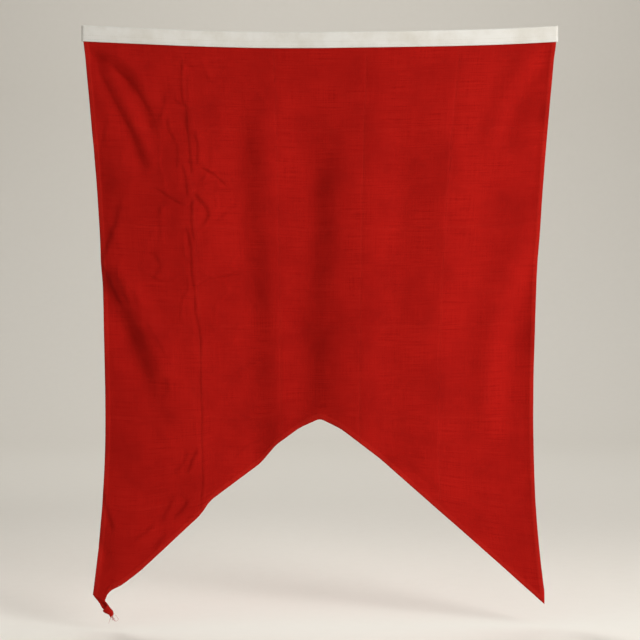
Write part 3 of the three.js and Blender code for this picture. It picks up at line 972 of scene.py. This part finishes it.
def headingLines(grid):
    places, outward = grid["places"], -grid["normals"]  # the sheet's normals point into the fold
    lines = []
    level = places[0, :, 2] - topEdge(places[0, 0, 0])
    half = places.shape[1] // 2
    for rise in headingSet["seamLevels"]:
        wanted = rise - headingSet["depth"]
        front = int(np.argmin(np.abs(level[:half] - wanted)))
        back = half + int(np.argmin(np.abs(level[half:] - wanted)))
        for column in (front, back):
            lift = headingSet["thickness"] / 2 - stitchSet["sink"]
            lines.append(((places[:, column] + outward[:, column] * lift)[1:-1], outward[1:-1, column]))
    return lines


# loose threads of the frayed tail end
threadSet = {
    "radius": 0.17,
    "tip": 0.02,  # keeps the ends from closing to points
    "sides": 5,
    "loop": [(-319, -893), (-315, -897), (-310.5, -902), (-309.5, -905.5), (-312, -907.5), (-315.5, -906),
             (-317, -902)],
    "loopSteps": 40,
    "loopBulge": 1.5,  # how far the loop stands to the front
    "count": 11,
    "leans": [(-0.4, 0.9), (-0.6, 0.6)],  # to the right and back, for each mm down
    "lengths": (3, 10),
    "bends": [(-3, 3), (-2, 2), (-1, 2)],
    "rooted": -0.25,  # share of the length that starts inside the twist
    "steps": 9,
    "seed": 5,
}


def tube(path):
    sides = threadSet["sides"]
    along = unit(np.gradient(path, axis=0))
    side = unit(np.cross(along, (0.3, 0.9, 0.2)))  # any direction off the thread's own
    up = np.cross(along, side)
    turns = np.linspace(0, 2 * np.pi, sides, endpoint=False)
    ends = np.linspace(-1, 1, len(path)) ** 8  # high only near the ends
    taper = np.sqrt(np.clip(1 + threadSet["tip"] - ends, 0, 1))[:, None, None] * threadSet["radius"]
    rings = path[:, None] + taper * (np.cos(turns)[None, :, None] * side[:, None]
                                     + np.sin(turns)[None, :, None] * up[:, None])
    index = np.arange(len(path) * sides).reshape(len(path), sides)
    closed = np.hstack([index, index[:, :1]])
    faces = np.roll(gridCells(closed)[:, ::-1], 1, axis=1).tolist()
    faces += [index[0, ::-1].tolist(), index[-1].tolist()]
    return rings.reshape(-1, 3), faces


def buildLooseThreads(grid):
    chance = np.random.default_rng(threadSet["seed"])
    end = grid["twist"][-1]
    loop = smoothPath(threadSet["loop"], threadSet["loopSteps"])
    bulge = threadSet["loopBulge"] * np.sin(np.linspace(0, np.pi, len(loop)))
    paths = [np.stack([loop[:, 0], end[:, 1].mean() - bulge, loop[:, 1]], axis=-1)]
    for _ in range(threadSet["count"]):
        start = end[chance.integers(len(end))]
        lean = np.array([chance.uniform(*span) for span in threadSet["leans"]] + [-1.0])
        long = chance.uniform(*threadSet["lengths"])
        bend = np.array([chance.uniform(*span) for span in threadSet["bends"]])
        share = np.linspace(threadSet["rooted"], 1, threadSet["steps"])[:, None]
        paths.append(start + share * lean * long + share ** 2 * bend)
    points, faces = [], []
    for path in paths:
        tubePoints, tubeFaces = tube(path)
        base = sum(len(part) for part in points)
        points.append(tubePoints)
        faces += [[base + corner for corner in face] for face in tubeFaces]
    threads = meshObject("looseThreads", np.vstack(points) * mm, faces)
    print("loose threads:", len(paths))
    return threads


cloth, clothShape = buildCloth()
heading, headingShape = buildHeading()
bunting, canvas = makeBunting(), makeCanvas()
redThread = makeThread("redSewingThread", threadLook["red"])
whiteThread = makeThread("whiteSewingThread", threadLook["white"])
frayedThread = makeThread("frayedRedThread", threadLook["frayed"])
print("materials: bunting, canvas and three threads")
cloth.data.materials.append(bunting)
heading.data.materials.append(canvas)
seams = stitchTree()
hemStitches = sewLines("hemStitches", hemLines(clothShape), seams, redThread)
headingStitches = sewLines("headingStitches", headingLines(headingShape), seams, whiteThread)
looseThreads = buildLooseThreads(clothShape)
looseThreads.data.materials.append(frayedThread)

# studio: pale floor that curves up behind, pale surroundings and a face-on camera
midLevel = (cadBox[0][2] + cadBox[1][2]) / 2
studio = {
    "floorBelow": 0.02,  # metres under the lowest point of the solids
    "floor": "#DEDAD2",
    "floorGrain": "#C9C4BA",
    "grainScale": 40,
    "grainMix": (0.3, 0.7, 0.0, 0.06),  # old range and new range
    "sweepStart": 3.4,
    "sweepRadius": 1.6,
    "sweepSteps": 24,
    "reach": 7,
    "skyAbove": 0.62,
    "skyBelow": 0.2,
    "sky": "#F2F0EC",
    "lens": 85,
    "sensor": 36,
    "frameHeight": 0.99,  # metres of the flag's plane that the picture holds
}


def buildStage():
    low, reach, radius = cadBox[0][2] - studio["floorBelow"], studio["reach"], studio["sweepRadius"]
    start = studio["sweepStart"]
    profile = [(-reach, low), (start, low)]
    for turn in np.linspace(0, np.pi / 2, studio["sweepSteps"] + 1)[1:]:
        profile.append((start + radius * math.sin(turn), low + radius * (1 - math.cos(turn))))
    profile.append((start + radius, low + reach))
    points = [(side * reach, y, z) for y, z in profile for side in (-1, 1)]
    faces = [(2 * i, 2 * i + 1, 2 * i + 3, 2 * i + 2) for i in range(len(profile) - 1)]
    floor = meshObject("paleFloor", points, faces)
    material, tree = newMaterial("mattPaleFloor")
    place = addNode(tree, "ShaderNodeTexCoord").outputs["Object"]
    grain = addNode(tree, "ShaderNodeTexNoise", {"Vector": place, "Scale": studio["grainScale"],
                                                 "Detail": 3.0})
    tone = addNode(tree, "ShaderNodeMapRange", [grain, *studio["grainMix"]])
    plain, dark = hexColour(studio["floor"]), hexColour(studio["floorGrain"])
    colour = addNode(tree, "ShaderNodeMix", {0: tone, 6: plain, 7: dark}, data_type="RGBA").outputs[2]
    shader = addNode(tree, "ShaderNodeBsdfPrincipled", {
        "Base Color": colour, "Roughness": 0.9, "Specular IOR Level": 0.1})
    addNode(tree, "ShaderNodeOutputMaterial", {"Surface": shader})
    floor.data.materials.append(material)


# soft key light from the right, a narrow one behind on the left, and a wash for the floor
lights = {
    "key": {"place": (1.7, -1.7, 0.3), "aim": (0, 0, -1.4), "size": 1.1, "power": 47.5, "spread": math.pi},
    "back": {"place": (-1.6, 1.9, 0.8), "aim": (0, 0, midLevel), "size": 1, "power": 5, "spread": 0.9},
    "wash": {"place": (0, 2.6, 2.0), "aim": (0, 3.2, -1), "size": 3, "power": 40, "spread": math.pi},
}


def buildLights():
    for name, look in lights.items():
        light = bpy.data.lights.new(name + "Light", "AREA")
        light.spread = look["spread"]
        light.size = look["size"]
        light.energy = look["power"]
        lamp = addObject(name + "Light", light)
        lamp.location = look["place"]
        aim = np.array(look["place"]) - np.array(look["aim"])
        lamp.rotation_euler = (math.acos(aim[2] / np.linalg.norm(aim)), 0, math.atan2(aim[0], -aim[1]))


def buildSurroundings():
    world = bpy.data.worlds.new("paleRoom")
    world.use_nodes = True
    tree = world.node_tree
    background = tree.nodes["Background"]
    background.inputs["Color"].default_value = hexColour(studio["sky"])
    direction = addNode(tree, "ShaderNodeTexCoord").outputs["Generated"]
    rise = addNode(tree, "ShaderNodeSeparateXYZ", [direction]).outputs["Z"]
    strength = addNode(tree, "ShaderNodeMapRange", [rise, -1.0, 1.0, studio["skyBelow"], studio["skyAbove"]])
    tree.links.new(strength.outputs[0], background.inputs["Strength"])
    bpy.context.scene.world = world


def buildCamera():
    lens = bpy.data.cameras.new("faceOn")
    lens.lens = studio["lens"]
    lens.sensor_width = studio["sensor"]
    lens.sensor_fit = "HORIZONTAL"
    camera = addObject("faceOn", lens)
    away = studio["frameHeight"] * studio["lens"] / studio["sensor"]
    camera.location = (0, -away, midLevel)
    camera.rotation_euler = (math.pi / 2, 0, 0)
    bpy.context.scene.camera = camera
    bpy.context.scene.view_settings.view_transform = "Standard"


buildStage()
buildLights()
buildSurroundings()
buildCamera()
print("studio: floor, three lights and camera")

# frame: which solid each piece stands for is listed, each piece is held by the root, and the solids are
# hidden
slotsByPiece = {cloth: "red_bunting", hemStitches: "red_bunting", looseThreads: "red_bunting",
                heading: "white_canvas", headingStitches: "white_canvas"}
for piece, slot in slotsByPiece.items():
    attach(piece, "root")
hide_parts("flag_cloth")
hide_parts("heading")
